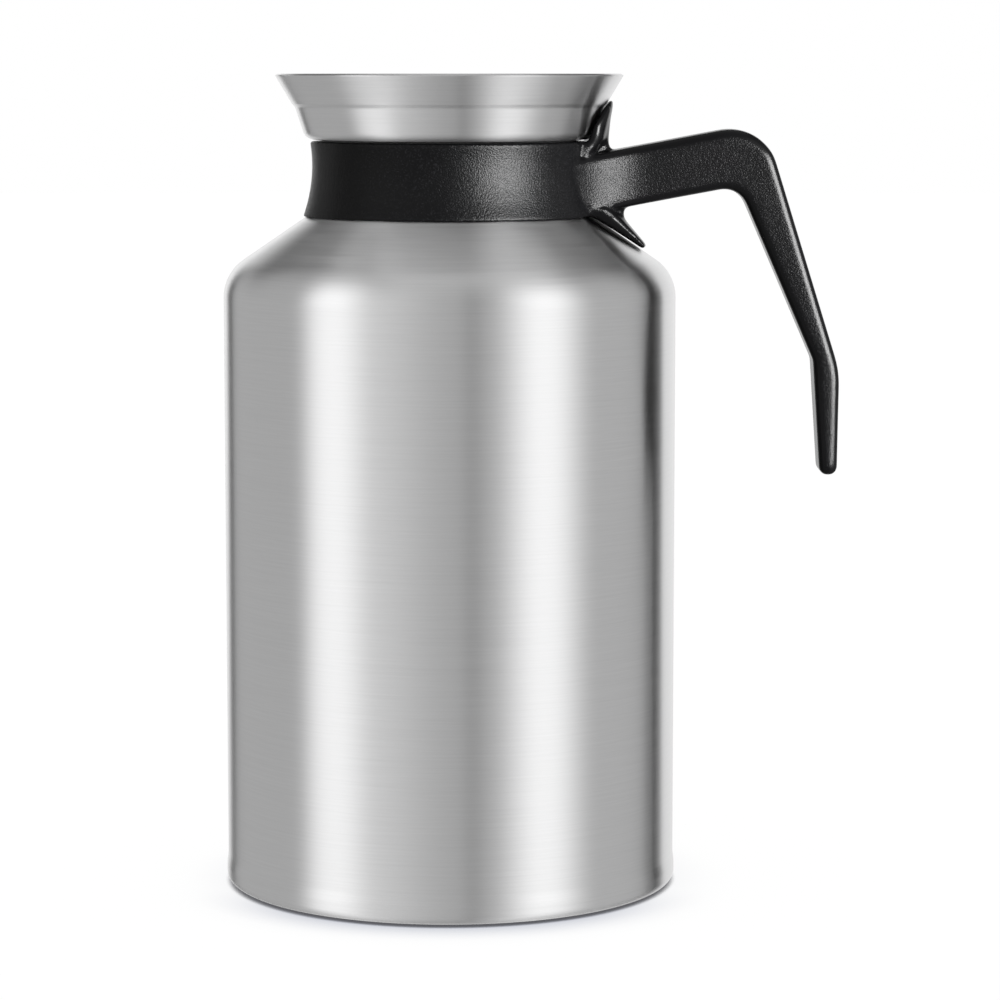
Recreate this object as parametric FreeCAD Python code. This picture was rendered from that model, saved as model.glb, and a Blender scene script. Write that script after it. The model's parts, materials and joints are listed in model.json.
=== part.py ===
"""Thermal carafe: a double-walled steel vacuum flask with a flared pour mouth, a moulded collar and
handle, and a drop-in brew-through lid with a hinged flap. Millimetres, +Z up.

The origin is on the carafe's axis, on the surface that it stands on. The handle points along +X.
Every round piece is a closed outline in the half plane (radius, height), turned about the Z axis.
"""

import FreeCAD
import Part
import math
import os

from FreeCAD import Vector

# Shared clearances and cutting
weld_gap = 0.05           # between sheet pieces that are pressed or welded together
cut_overrun = 5.0         # how far a cutting tool runs past what it cuts
least_edge = 0.000001     # shorter edges than this are left out of an outline
full_turn = 360.0

# Outer shell: drawn steel wall, shoulder cone and neck
body_radius = 66.0
body_wall = 0.8
body_height = 179.8       # where the wall line meets the shoulder line
shoulder_angle = 34.3     # fall of the shoulder below level, degrees
shoulder_bend = 13.0
neck_radius = 37.0
neck_bend = 3.0
neck_length = 17.7        # from the shoulder line to the lip
foot_height = 5.6         # the wall spreads to the cap's width above this height
foot_rise = 3.0
foot_bend = 8.0

# Inner flask: the wall that holds the coffee
flask_wall = 0.6
vacuum_gap = 6.2
neck_gap = 1.6
flask_floor_gap = 4.5     # between the vacuum base and the flask's floor
flask_corner = 10.0
flask_seam_drop = 12.8    # weld between the flask's wall and neck, below the shoulder line
flask_neck_bend = 4.0

# Vacuum base: the disc that closes the outer shell from below
vacuum_base_wall = 0.8
vacuum_base_room = 0.3    # between the sealing bead and the base cap
vacuum_base_bend = 2.0
dimple_radius = 15.0
dimple_slope = 2.0
dimple_depth = 2.0
evacuation_hole_radius = 1.2
seal_bead_radius = 3.2
seal_bead_height = 1.1
seal_bead_edge = 0.9

# Getter: the pellet that takes up the last gas, on a strap inside the vacuum
getter_offset = 32.0
getter_radius = 5.0
getter_height = 1.8
strap_length = 20.0
strap_width = 6.0
strap_thickness = 0.5

# Base cap and the pad that it stands on
cap_step = 0.35           # the cap stands proud of the wall by this much
cap_wall = 0.7
cap_corner = 2.6
cap_lip = 0.1             # upright rim above the corner
cap_clearance = 0.5       # height of the steel above the table
pad_inset = 9.05          # edge of the pad inside the cap's rim
pad_thickness = 2.6
pad_gap = 0.4
pad_edge = 0.4
pad_bead = 0.3            # rounding where the cap bends up around the pad
groove_radius_shares = (0.28, 0.455, 0.63, 0.805)
groove_width = 3.0
groove_depth = 0.8

# Pour mouth: spun steel bowl with a flared rim
mouth_wall = 0.9
mouth_floor_bend = 3.2
bowl_foot_margin = 4.8    # foot of the bowl outside the neck
bowl_height = 9.4
bowl_spread = 3.1
crease_rise = 0.9
crease_spread = 0.85
crease_bend = 1.0
flare_height = 8.3
flare_spread = 4.95
rim_edge = 0.35

# Gasket under the mouth, and the threaded ring that clamps the mouth to the neck
gasket_thickness = 0.8
ring_wall = 1.5
ring_length = 16.1
ring_clearance = 0.1
ring_flange_width = 3.9
ring_flange_thickness = 1.6
ring_edge = 0.4

# Collar: the waisted band around the neck
collar_clearance = 0.6
collar_top_wall = 2.95
collar_waist_wall = 2.4
collar_waist_rise = 15.0  # height of the waist above the lower lip
collar_foot_wall = 4.9
collar_top_drop = 0.5     # gap under the pour mouth
collar_edge = 0.5
collar_lip_height = 0.9   # upright band at the collar's foot
collar_lip_edge = 0.25
collar_lift = 0.15        # gap between the collar's lower face and the shoulder
seat_thickness = 0.8      # soft ring in a pocket of the collar, on the shoulder
seat_gap = 0.05
seat_inset = 1.2          # edge of the seat outside the collar's bore
seat_width = 2.2

# Lugs on the neck that stop the collar from turning
lug_width = 6.0
lug_height = 5.0
lug_depth = 1.6
lug_rise = 6.0            # above the foot of the neck
lug_clearance = 0.2
lug_angles = (90.0, -90.0)

# Handle: a flat arm, a tapering grip and a straight tail
handle_width = 16.0
handle_edge = 2.2
arm_angle = 10.6          # rise of the arm, degrees
arm_depth = 16.85
arm_root_rise = 9.6       # middle of the arm above the collar's lip, at the collar
arm_length = 51.1         # from the collar to the outer corner
arm_outer_bend = 13.9
arm_inner_bend = 7.0
root_flare = 30.0         # radius where the arm spreads into the collar
root_bite = 0.5           # how far the flare cuts into the collar's face
root_embed = 1.6          # how far the handle's pieces reach into the collar's wall
grip_outer_lean = 17.4    # degrees from upright
grip_inner_lean = 23.5
grip_length = 75.7
grip_outer_bend = 28.0
grip_inner_bend = 4.0
knee_depth = 7.8
knee_offset = 3.2
tail_length = 30.5
tail_lean = 0.85
tail_width = 5.1
tail_corner_share = 0.47  # rounding of the tip, of the tail's width
tail_edge_share = 0.44    # the long edges' rounding is at most this share of the tail's width

# Fins: tongues of the handle that brace it against the mouth and the shoulder
fin_bite = 1.2            # how far a fin reaches into the arm
fin_rib_bend = 1.8        # rounding between a fin and the arm
fin_rib_foot = 6.0
upper_fin_clearance = 0.4
upper_fin_rise = 12.0     # tip above the collar
upper_fin_root_thickness = 3.65
upper_fin_thickness = 2.25
upper_fin_tip_thickness = 0.75
upper_fin_gusset = 6.5
upper_fin_half_width = 9.9
upper_fin_spread = 39.0   # the sides spread toward the mouth, degrees
upper_fin_waist = 13.9    # half width at the middle of the bowl
upper_fin_neck = 9.6      # half width at the crease
upper_fin_tip_half_width = 4.5
upper_fin_tip_height = 2.2
lower_fin_clearance = 0.5
lower_fin_length = 17.2   # along the shoulder, from the collar's lip
lower_fin_knee = 6.9
lower_fin_root_thickness = 4.3
lower_fin_tip_thickness = 1.45
lower_fin_gusset = 8.7
lower_fin_half_width = 7.0
lower_fin_spread = 25.0
lower_fin_tip_half_width = 5.0
lower_fin_tip_height = 1.6
lower_fin_tip_angle = 59.5  # rise of the tip's cut corners, degrees

# Lid: plug, flange, dish, hub, port, grips and hinge ears
lid_flange_inset = 0.8    # edge of the flange inside the throat ring's
lid_flange_thickness = 2.2
lid_edge = 0.6
plug_clearance = 0.7
plug_wall = 3.4
plug_length = 15.0
dish_wall = 2.0
dish_inset = 3.8          # edge of the dish inside the flange's
dish_drop = 4.6
hub_wall = 2.5
hub_length = 10.4
brew_hole_radius = 6.0
funnel_spread = 3.0
flap_seat_width = 2.2
flap_seat_rise = 1.8
port_inset = 2.8          # outer edge of the port inside the plug's wall
port_depth = 10.0
port_half_angle = 24.0
vent_radius = 1.6
vent_inset = 3.3
grip_inset = 3.3          # outer face of the finger grips inside the plug's wall
grip_wall = 2.6
grip_half_angle = 24.0
grip_rise = 9.0
grip_angles = (90.0, -90.0)
ear_spacing = 12.6        # between the two ears
ear_thickness = 2.6
ear_radius = 2.9
pin_inset = 3.0           # hinge axis outside the flap's edge
pin_rise = 2.6            # hinge axis above the flap's seat
pin_radius = 1.0
pin_clearance = 0.05

# Lid seal
seal_groove_depth = 1.5
seal_height = 3.2
seal_drop = 7.0           # top of the seal below the flange
seal_clearance = 0.2      # to the ring's bore
seal_seat_gap = 0.05
lip_height = 0.9
lip_depth = 0.7

# Flap over the brew hole
flap_overlap = 1.2        # edge of the flap outside its seat
flap_thickness = 2.2
flap_edge = 0.5
barrel_radius = 2.3
barrel_side_gap = 0.3
flap_neck_width = 9.0
thumb_length = 3.5
thumb_width = 9.0
thumb_rise = 2.4

# Mixing tube and its o-ring
tube_radius = 8.0
tube_wall = 1.5
tube_socket_gap = 0.1
tube_socket_depth = 7.0
tube_foot_gap = 13.4      # between the tube and the flask's floor
tube_slot_width = 3.0
tube_slot_height = 10.0
tube_slot_count = 2       # slots cut right across the foot
o_ring_section = 0.8
o_ring_drop = 3.4

# Heights and places that follow from the sizes above
shoulder_tan = math.tan(math.radians(shoulder_angle))
shoulder_cos = math.cos(math.radians(shoulder_angle))
shoulder_sin = math.sin(math.radians(shoulder_angle))
neck_foot_z = body_height + (body_radius - neck_radius) * shoulder_tan
neck_top_z = neck_foot_z + neck_length
lip_top_z = neck_top_z + flask_wall
mouth_floor_z = lip_top_z + gasket_thickness
mouth_top_z = mouth_floor_z + mouth_wall
bowl_foot_radius = neck_radius + bowl_foot_margin
bowl_top_radius = bowl_foot_radius + bowl_spread
flare_foot_radius = bowl_top_radius + crease_spread
rim_radius = flare_foot_radius + flare_spread
bowl_top_z = mouth_floor_z + bowl_height
flare_foot_z = bowl_top_z + crease_rise
rim_z = flare_foot_z + flare_height
ring_top_z = mouth_top_z + ring_flange_thickness
collar_top_z = mouth_floor_z - collar_top_drop
flask_radius = body_radius - body_wall - vacuum_gap
flask_neck_radius = neck_radius - body_wall - neck_gap
ring_outer_radius = flask_neck_radius - flask_wall - ring_clearance
ring_bore_radius = ring_outer_radius - ring_wall
ring_flange_radius = ring_outer_radius + ring_flange_width
collar_bore_radius = neck_radius + collar_clearance
collar_top_radius = collar_bore_radius + collar_top_wall
collar_waist_radius = collar_bore_radius + collar_waist_wall
collar_foot_radius = collar_bore_radius + collar_foot_wall
seat_inner_radius = collar_bore_radius + seat_inset
seat_outer_radius = seat_inner_radius + seat_width
cap_radius = body_radius + cap_step
pad_radius = cap_radius - pad_inset
cap_rim_height = cap_clearance + cap_corner + cap_lip
shell_foot_height = cap_rim_height + weld_gap
vacuum_base_height = (pad_thickness + cap_wall + vacuum_base_room + seal_bead_height
                      + vacuum_base_wall + dimple_depth)
flask_floor_height = vacuum_base_height + flask_floor_gap
flask_seam_z = flask_floor_height + flask_corner
flask_top_z = body_height - flask_seam_drop
tube_foot_height = flask_floor_height + flask_wall + tube_foot_gap
plug_radius = ring_bore_radius - plug_clearance
plug_inner_radius = plug_radius - plug_wall
lid_flange_radius = ring_flange_radius - lid_flange_inset
dish_radius = lid_flange_radius - dish_inset
hub_radius = tube_radius + tube_socket_gap + hub_wall
funnel_radius = brew_hole_radius + funnel_spread
flap_radius = funnel_radius + flap_seat_width + flap_overlap
pin_offset = flap_radius + pin_inset
port_outer_radius = plug_inner_radius - port_inset
port_inner_radius = port_outer_radius - port_depth
vent_offset = plug_inner_radius - vent_inset
grip_radius = plug_inner_radius - grip_inset
lid_top_z = ring_top_z + lid_flange_thickness
hub_top_z = lid_top_z - dish_drop
flap_seat_z = hub_top_z + flap_seat_rise
pin_z = flap_seat_z + pin_rise
socket_top_z = hub_top_z - hub_length + tube_socket_depth


def shoulder_z(radius, stand_off=0.0):
    """Height of the shoulder's face at a radius, or of a face that stands off it squarely."""
    return neck_foot_z - (radius - neck_radius) * shoulder_tan + stand_off / shoulder_cos


collar_foot_z = shoulder_z(collar_foot_radius, collar_lift)


# Outlines


def turn_of(before, corner, after):
    """Signed turn at a corner, in radians, positive to the left."""
    ax, ay = corner[0] - before[0], corner[1] - before[1]
    bx, by = after[0] - corner[0], after[1] - corner[1]
    return math.atan2(ax * by - ay * bx, ax * bx + ay * by)


def toward(start, end, distance):
    """The point at a distance from start, on the way to end."""
    share = distance / math.hypot(end[0] - start[0], end[1] - start[1])
    return (start[0] + (end[0] - start[0]) * share, start[1] + (end[1] - start[1]) * share)


def midway(start, end):
    """The corner half way between two others, not rounded."""
    return ((start[0] + end[0]) / 2, (start[1] + end[1]) / 2, 0)


def rounded_wire(corners, place):
    """A closed wire through corners (a, b, bend radius), with a tangent arc at every bend.
    place turns (a, b) into a point in space."""
    edges = []
    ends = []
    count = len(corners)
    for i, (a, b, bend) in enumerate(corners):
        before, after = corners[i - 1], corners[(i + 1) % count]
        turn = turn_of(before, (a, b), after)
        if bend == 0 or turn == 0:
            ends.append(((a, b), (a, b)))
            continue
        reach = bend * math.tan(abs(turn) / 2)
        first, last = toward((a, b), before, reach), toward((a, b), after, reach)
        middle = ((first[0] + last[0]) / 2, (first[1] + last[1]) / 2)
        centre_distance = bend / math.cos(turn / 2)
        crown = toward((a, b), middle, centre_distance - bend)
        edges.append(Part.Arc(place(*first), place(*crown), place(*last)).toShape())
        ends.append((first, last))
    for i in range(count):
        start, end = place(*ends[i][1]), place(*ends[(i + 1) % count][0])
        if not start.isEqual(end, least_edge):
            edges.append(Part.LineSegment(start, end).toShape())
    return Part.Wire(Part.__sortEdges__(edges))


def upright(radius, height):
    """A point of the XZ plane."""
    return Vector(radius, 0, height)


def flat(x, y):
    """A point of the XY plane."""
    return Vector(x, y, 0)


def facing(y, z):
    """A point of the YZ plane."""
    return Vector(0, y, z)


def turned(corners, angle=full_turn):
    """The solid swept by an upright outline about the Z axis, centred on the XZ plane."""
    face = Part.Face(rounded_wire(corners, upright))
    face.rotate(Vector(), Vector(0, 0, 1), -angle / 2 if angle < full_turn else 0)
    return face.revolve(Vector(), Vector(0, 0, 1), angle)


def sheet(path, wall):
    """Closed outline of a sheet that lies to the left of a path of (radius, height, bend)."""
    inner = []
    last = len(path) - 1
    for i, (a, b, bend) in enumerate(path):
        if i in (0, last):
            start, end = path[max(i - 1, 0)], path[min(i + 1, last)]
            share = wall / math.hypot(end[0] - start[0], end[1] - start[1])
            inner.append((a - (end[1] - start[1]) * share, b + (end[0] - start[0]) * share, bend))
            continue
        before, after = path[i - 1], path[i + 1]
        turn = turn_of(before, (a, b), after)
        heading = math.atan2(b - before[1], a - before[0]) + turn / 2 + math.pi / 2
        reach = wall / math.cos(turn / 2)
        inner_bend = bend - wall * math.copysign(1, turn) if bend else 0
        inner.append((a + reach * math.cos(heading), b + reach * math.sin(heading), inner_bend))
    return list(path) + inner[::-1]


def cylinder(radius, low, high, x=0.0, y=0.0):
    """An upright cylinder between two heights."""
    return Part.makeCylinder(radius, high - low, Vector(x, y, low))


def block(low, high):
    """A box between two corners."""
    size = Vector(*high) - Vector(*low)
    return Part.makeBox(size.x, size.y, size.z, Vector(*low))


def prism(wire, along):
    """A wire filled and extruded, centred on its own plane."""
    face = Part.Face(wire)
    face.translate(-along / 2)
    return face.extrude(along)


def spun(shape, angle):
    """A copy of a shape, turned about the Z axis."""
    copy = shape.copy()
    copy.rotate(Vector(), Vector(0, 0, 1), angle)
    return copy


# Vacuum flask


def outer_shell():
    """Wall, shoulder and neck in one drawn sheet, spread at the foot to meet the base cap."""
    path = [
        (cap_radius, shell_foot_height, 0),
        (cap_radius, foot_height, foot_bend),
        (body_radius, foot_height + foot_rise, foot_bend),
        (body_radius, body_height, shoulder_bend),
        (neck_radius, neck_foot_z, neck_bend),
        (neck_radius, neck_top_z, 0),
    ]
    return turned(sheet(path, body_wall))


def flask_floor():
    """Pressed dish, welded to the foot of the flask's wall."""
    path = [
        (0, flask_floor_height, 0),
        (flask_radius, flask_floor_height, flask_corner),
        (flask_radius, flask_seam_z, 0),
    ]
    return turned(sheet(path, flask_wall))


def inner_flask():
    """Straight wall of the flask that holds the coffee."""
    path = [(flask_radius, flask_seam_z, 0), (flask_radius, flask_top_z, 0)]
    return turned(sheet(path, flask_wall))


def flask_neck():
    """Shoulder and neck of the flask. Its lip turns out over the outer neck and is welded there."""
    drop = (body_wall + vacuum_gap) / shoulder_cos
    wall_top = body_height + (body_radius - flask_radius) * shoulder_tan - drop
    neck_foot = neck_foot_z + (neck_radius - flask_neck_radius) * shoulder_tan - drop
    inside = flask_neck_radius - flask_wall
    wall = [
        (flask_radius, flask_top_z, 0),
        (flask_radius, wall_top, shoulder_bend - body_wall),
        (flask_neck_radius, neck_foot, flask_neck_bend),
        (flask_neck_radius, neck_top_z, 0),
    ]
    corners = sheet(wall, flask_wall)
    outer, inner = corners[: len(wall)], corners[len(wall):]
    lip = [(neck_radius, neck_top_z, 0), (neck_radius, lip_top_z, 0), (inside, lip_top_z, 0)]
    return turned(outer + lip + inner[1:])


def vacuum_base():
    """Dished disc welded inside the foot of the shell, with a dimple for the evacuation hole."""
    radius = cap_radius - body_wall - weld_gap
    path = [
        (evacuation_hole_radius, vacuum_base_height - dimple_depth, 0),
        (dimple_radius - dimple_slope, vacuum_base_height - dimple_depth, dimple_slope / 2),
        (dimple_radius, vacuum_base_height, dimple_slope / 2 + vacuum_base_wall),
        (radius, vacuum_base_height, vacuum_base_bend),
        (radius, shell_foot_height, 0),
    ]
    mirrored = [(r, -z, bend) for r, z, bend in path]
    return turned([(r, -z, bend) for r, z, bend in sheet(mirrored, vacuum_base_wall)])


def evacuation_seal():
    """Bead of solder glass that closes the hole once the air is out."""
    top = vacuum_base_height - dimple_depth - vacuum_base_wall
    stem = cylinder(evacuation_hole_radius - weld_gap, top, top + vacuum_base_wall)
    bead = turned([
        (0, top - seal_bead_height, 0),
        (seal_bead_radius, top - seal_bead_height, seal_bead_edge),
        (seal_bead_radius, top, 0),
        (0, top, 0),
    ])
    return bead.fuse(stem).removeSplitter()


def getter_strap():
    """Thin steel strip spot-welded to the vacuum base."""
    return block(
        (getter_offset - strap_length / 2, -strap_width / 2, vacuum_base_height),
        (getter_offset + strap_length / 2, strap_width / 2, vacuum_base_height + strap_thickness),
    )


def getter_pellet():
    """Pressed metal powder pellet on its strap."""
    low = vacuum_base_height + strap_thickness
    return cylinder(getter_radius, low, low + getter_height, getter_offset)


def base_cap():
    """Steel cap welded edge to edge under the shell. Its floor steps up to hold the pad."""
    recess = pad_radius + pad_gap
    path = [
        (0, pad_thickness, 0),
        (recess, pad_thickness, pad_bead),
        (recess, cap_clearance, pad_bead + cap_wall),
        (cap_radius, cap_clearance, cap_corner),
        (cap_radius, cap_rim_height, 0),
    ]
    return turned(sheet(path, cap_wall))


def base_pad():
    """Soft pad with ring grooves, seated in the cap."""
    pad = turned([
        (0, 0, 0),
        (pad_radius, 0, pad_edge),
        (pad_radius, pad_thickness, pad_edge),
        (0, pad_thickness, 0),
    ])
    half = groove_width / 2
    for share in groove_radius_shares:
        radius = pad_radius * share
        pad = pad.cut(turned([
            (radius - half, -cut_overrun, 0),
            (radius + half, -cut_overrun, 0),
            (radius + half, groove_depth, 0),
            (radius - half, groove_depth, 0),
        ]))
    return pad


# Neck and mouth


def lug(extra=0.0):
    """One lug on the neck at +X, or the room that it needs."""
    low = neck_foot_z + lug_rise
    half = lug_width / 2 + extra
    return block(
        (0, -half, low - extra),
        (neck_radius + lug_depth + extra, half, low + lug_height + extra),
    )


def neck_lugs():
    """Two lugs, left and right of the handle, curved to sit on the neck."""
    bore = cylinder(neck_radius, 0, rim_z)
    lugs = [spun(lug(), side).cut(bore) for side in lug_angles]
    return Part.makeCompound([solid for shape in lugs for solid in shape.Solids])


def mouth_path():
    """Outer face of the pour mouth, from its floor up to its rim."""
    return [
        (ring_outer_radius + ring_clearance, mouth_floor_z, 0),
        (bowl_foot_radius, mouth_floor_z, mouth_floor_bend),
        (bowl_top_radius, bowl_top_z, crease_bend + mouth_wall),
        (flare_foot_radius, flare_foot_z, crease_bend),
        (rim_radius, rim_z, rim_edge),
    ]


def pour_mouth():
    """Spun steel bowl: flat floor, leaning wall, a crease, and the flare."""
    return turned(sheet(mouth_path(), mouth_wall))


def mouth_gasket():
    """Flat ring between the flask's lip and the floor of the mouth."""
    inside = flask_neck_radius - flask_wall
    return turned([
        (inside, lip_top_z, 0),
        (neck_radius, lip_top_z, 0),
        (neck_radius, mouth_floor_z, 0),
        (inside, mouth_floor_z, 0),
    ])


def throat_ring():
    """Threaded ring: its tube screws into the flask's neck and its flange holds the mouth down."""
    foot = mouth_top_z - ring_length
    return turned([
        (ring_bore_radius, foot, ring_edge),
        (ring_outer_radius, foot, ring_edge),
        (ring_outer_radius, mouth_top_z, 0),
        (ring_flange_radius, mouth_top_z, 0),
        (ring_flange_radius, ring_top_z, ring_edge),
        (ring_bore_radius, ring_top_z, ring_edge),
    ])


# Collar and handle


def outer_rim(band, height):
    """The widest ring edge of a turned solid at a height."""
    rings = []
    for edge in band.Edges:
        box = edge.BoundBox
        if edge.isClosed() and max(abs(box.ZMin - height), abs(box.ZMax - height)) < weld_gap:
            rings.append(edge)
    return max(rings, key=lambda edge: edge.Length)


def collar():
    """Waisted band around the neck. Its lower face follows the shoulder."""
    top = Vector(collar_top_radius, 0, collar_top_z)
    waist = Vector(collar_waist_radius, 0, collar_foot_z + collar_waist_rise)
    lip = Vector(collar_foot_radius, 0, collar_foot_z + collar_lip_height)
    foot = Vector(collar_foot_radius, 0, collar_foot_z)
    bore_foot = Vector(collar_bore_radius, 0, shoulder_z(collar_bore_radius, collar_lift))
    bore_top = Vector(collar_bore_radius, 0, collar_top_z)
    edges = [
        Part.LineSegment(foot, lip).toShape(),
        Part.Arc(lip, waist, top).toShape(),
        Part.LineSegment(top, bore_top).toShape(),
        Part.LineSegment(bore_top, bore_foot).toShape(),
        Part.LineSegment(bore_foot, foot).toShape(),
    ]
    band = Part.Face(Part.Wire(edges)).revolve(Vector(), Vector(0, 0, 1), full_turn)
    band = band.makeFillet(collar_edge, [outer_rim(band, collar_top_z)])
    return band.makeFillet(collar_lip_edge, [outer_rim(band, collar_foot_z)])


def arm_lines():
    """Points on the arm's upper and lower edges at the collar, and the arm's direction."""
    tilt = math.radians(arm_angle)
    middle = collar_foot_z + arm_root_rise
    half = arm_depth / 2 / math.cos(tilt)
    return (collar_waist_radius, middle + half), (collar_waist_radius, middle - half), math.tan(tilt)


def arm_top_z(x):
    """Height of the arm's upper edge."""
    upper, _, slope = arm_lines()
    return upper[1] + (x - upper[0]) * slope


def arm_foot_z(x):
    """Height of the arm's lower edge."""
    _, lower, slope = arm_lines()
    return lower[1] + (x - lower[0]) * slope


def under_shoulder(stand_off):
    """Everything below a cone that stands off the shoulder, out to the body's wall."""
    return turned([
        (0, 0, 0),
        (body_radius, 0, 0),
        (body_radius, shoulder_z(body_radius, stand_off), 0),
        (0, shoulder_z(0, stand_off), 0),
    ])


def handle_corners():
    """Outline of the handle, seen from the side, as (x, z, bend)."""
    root_x = 0.0
    outer_x = collar_waist_radius + arm_length
    outer = (outer_x, arm_top_z(outer_x))
    lean = math.radians(grip_outer_lean)
    knee = (outer[0] + grip_length * math.sin(lean), outer[1] - grip_length * math.cos(lean))
    tail = math.radians(tail_lean)
    tip = (knee[0] - tail_length * math.sin(tail), knee[1] - tail_length * math.cos(tail))
    inner_knee = (knee[0] - knee_depth, knee[1] + knee_offset)
    inner_slope = math.tan(math.radians(grip_inner_lean))
    arm_slope = arm_lines()[2]
    rise = arm_foot_z(inner_knee[0]) - inner_knee[1]
    back = rise / (1 / inner_slope + arm_slope)
    inner = (inner_knee[0] - back, arm_foot_z(inner_knee[0] - back))
    tail_corner = tail_width * tail_corner_share
    return [
        (root_x, arm_foot_z(root_x), 0),
        (inner[0], inner[1], arm_inner_bend),
        (inner_knee[0], inner_knee[1], grip_inner_bend),
        (tip[0] - tail_width, tip[1], tail_corner),
        (tip[0], tip[1], tail_corner),
        (knee[0], knee[1], grip_outer_bend),
        (outer[0], outer[1], arm_outer_bend),
        (root_x, arm_top_z(root_x), 0),
    ]


def handle_arm():
    """Arm, grip and tail. The root spreads into the collar, and the long edges are rounded."""
    half = handle_width / 2
    circle = collar_waist_radius - root_bite
    flare_x = math.sqrt((circle + root_flare) ** 2 - (half + root_flare) ** 2)
    touch_share = circle / (circle + root_flare)
    touch = (flare_x * touch_share, (half + root_flare) * touch_share)
    inset_share = (circle - root_embed) / circle
    inset = (touch[0] * inset_share, touch[1] * inset_share)
    crown = (
        flare_x - root_flare * math.sin(math.atan2(touch[0], touch[1]) / 2),
        half + root_flare * (1 - math.cos(math.atan2(touch[0], touch[1]) / 2)),
    )
    reach = max(corner[0] for corner in handle_corners()) + cut_overrun
    edges = [
        Part.LineSegment(flat(reach, -half), flat(reach, half)).toShape(),
        Part.LineSegment(flat(reach, half), flat(flare_x, half)).toShape(),
        Part.Arc(flat(flare_x, half), flat(*crown), flat(*touch)).toShape(),
        Part.LineSegment(flat(*touch), flat(*inset)).toShape(),
        Part.LineSegment(flat(*inset), flat(inset[0], -inset[1])).toShape(),
        Part.LineSegment(flat(inset[0], -inset[1]), flat(touch[0], -touch[1])).toShape(),
        Part.Arc(flat(touch[0], -touch[1]), flat(crown[0], -crown[1]), flat(flare_x, -half)).toShape(),
        Part.LineSegment(flat(flare_x, -half), flat(reach, -half)).toShape(),
    ]
    plan = Part.Face(Part.Wire(edges)).extrude(Vector(0, 0, rim_z + cut_overrun))
    side = prism(rounded_wire(handle_corners(), upright), Vector(0, 2 * body_radius, 0))
    arm = side.common(plan).cut(under_shoulder(collar_lift + seat_thickness))
    rounded = []
    for edge in arm.Edges:
        middle = edge.valueAt((edge.FirstParameter + edge.LastParameter) / 2)
        start, end = edge.Vertexes[0].Point, edge.Vertexes[-1].Point
        level = math.hypot(end.x - start.x, end.y - start.y)
        outside = math.hypot(middle.x, middle.y) > circle
        if abs(middle.y) > half - weld_gap and level > weld_gap and outside:
            rounded.append(edge)
    return arm.makeFillet(min(handle_edge, tail_width * tail_edge_share), rounded)


def upper_fin_corners():
    """Outline of the upper fin: it follows the mouth's outer face, a clearance away."""
    root = collar_bore_radius + root_embed
    foot_z = collar_top_z - upper_fin_gusset
    tip_z = collar_top_z + upper_fin_rise
    lean = (rim_radius - flare_foot_radius) / flare_height
    tip = flare_foot_radius + (tip_z - flare_foot_z) * lean + upper_fin_clearance
    crease = bowl_top_radius + upper_fin_clearance
    foot = bowl_foot_radius + upper_fin_clearance
    outer = [
        (collar_waist_radius, foot_z, 0),
        (foot + upper_fin_root_thickness, mouth_floor_z, fin_rib_bend),
        (crease + upper_fin_thickness, bowl_top_z, fin_rib_bend),
        (tip + upper_fin_tip_thickness, tip_z, 0),
    ]
    inner = [
        (tip, tip_z, 0),
        (flare_foot_radius + upper_fin_clearance, flare_foot_z, 0),
        (crease, bowl_top_z, 0),
        (foot, mouth_floor_z, 0),
        (collar_top_radius, collar_top_z - collar_edge, 0),
        (root, collar_top_z - collar_edge, 0),
        (root, foot_z, 0),
    ]
    return outer, inner


def off_shoulder(distance, thickness):
    """A point at a distance down the shoulder from the collar's lip, and a height square to it."""
    radius = collar_foot_radius + distance * shoulder_cos
    height = shoulder_z(radius, lower_fin_clearance)
    return (radius + thickness * shoulder_sin, height + thickness * shoulder_cos)


def lower_fin_corners():
    """Outline of the lower fin: it lies along the shoulder, a clearance away."""
    root = collar_bore_radius + root_embed
    inside = collar_lift + seat_thickness
    gusset_z = collar_foot_z + lower_fin_gusset
    inner = [
        (root, gusset_z, 0),
        (root, shoulder_z(root, inside), 0),
        (collar_foot_radius - collar_edge, shoulder_z(collar_foot_radius - collar_edge, inside), 0),
        (*off_shoulder(0, 0), 0),
        (*off_shoulder(lower_fin_length, 0), 0),
    ]
    outer = [
        (*off_shoulder(lower_fin_length, lower_fin_tip_thickness), 0),
        (*off_shoulder(lower_fin_knee, lower_fin_root_thickness), fin_rib_bend),
        (collar_waist_radius, gusset_z, 0),
    ]
    return inner, outer


def wedge(x, half_width, spread):
    """Plan outline, filled and extruded, of a fin whose sides spread toward the axis."""
    growth = math.tan(math.radians(spread))
    point = (x + half_width / growth, 0)
    base = point[0] * growth
    wire = rounded_wire([(*point, 0), (0, base, 0), (0, -base, 0)], flat)
    return Part.Face(wire).extrude(Vector(0, 0, rim_z))


def tab(points):
    """A fin's outline seen along the arm, from (half width, height) points, filled and extruded."""
    left = [(-y, z, 0) for y, z in points]
    right = [(y, z, 0) for y, z in reversed(points)]
    return Part.Face(rounded_wire(left + right, facing)).extrude(Vector(2 * body_radius, 0, 0))


def beside_arm(edge_z, bite, far_z):
    """Everything between an edge of the arm, or a bite into it, and a height far above or below."""
    reach = collar_waist_radius + arm_length
    wire = rounded_wire(
        [(0, edge_z(0) + bite, 0), (reach, edge_z(reach) + bite, 0), (reach, far_z, 0), (0, far_z, 0)], upright)
    return prism(wire, Vector(0, 2 * body_radius, 0))


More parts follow.
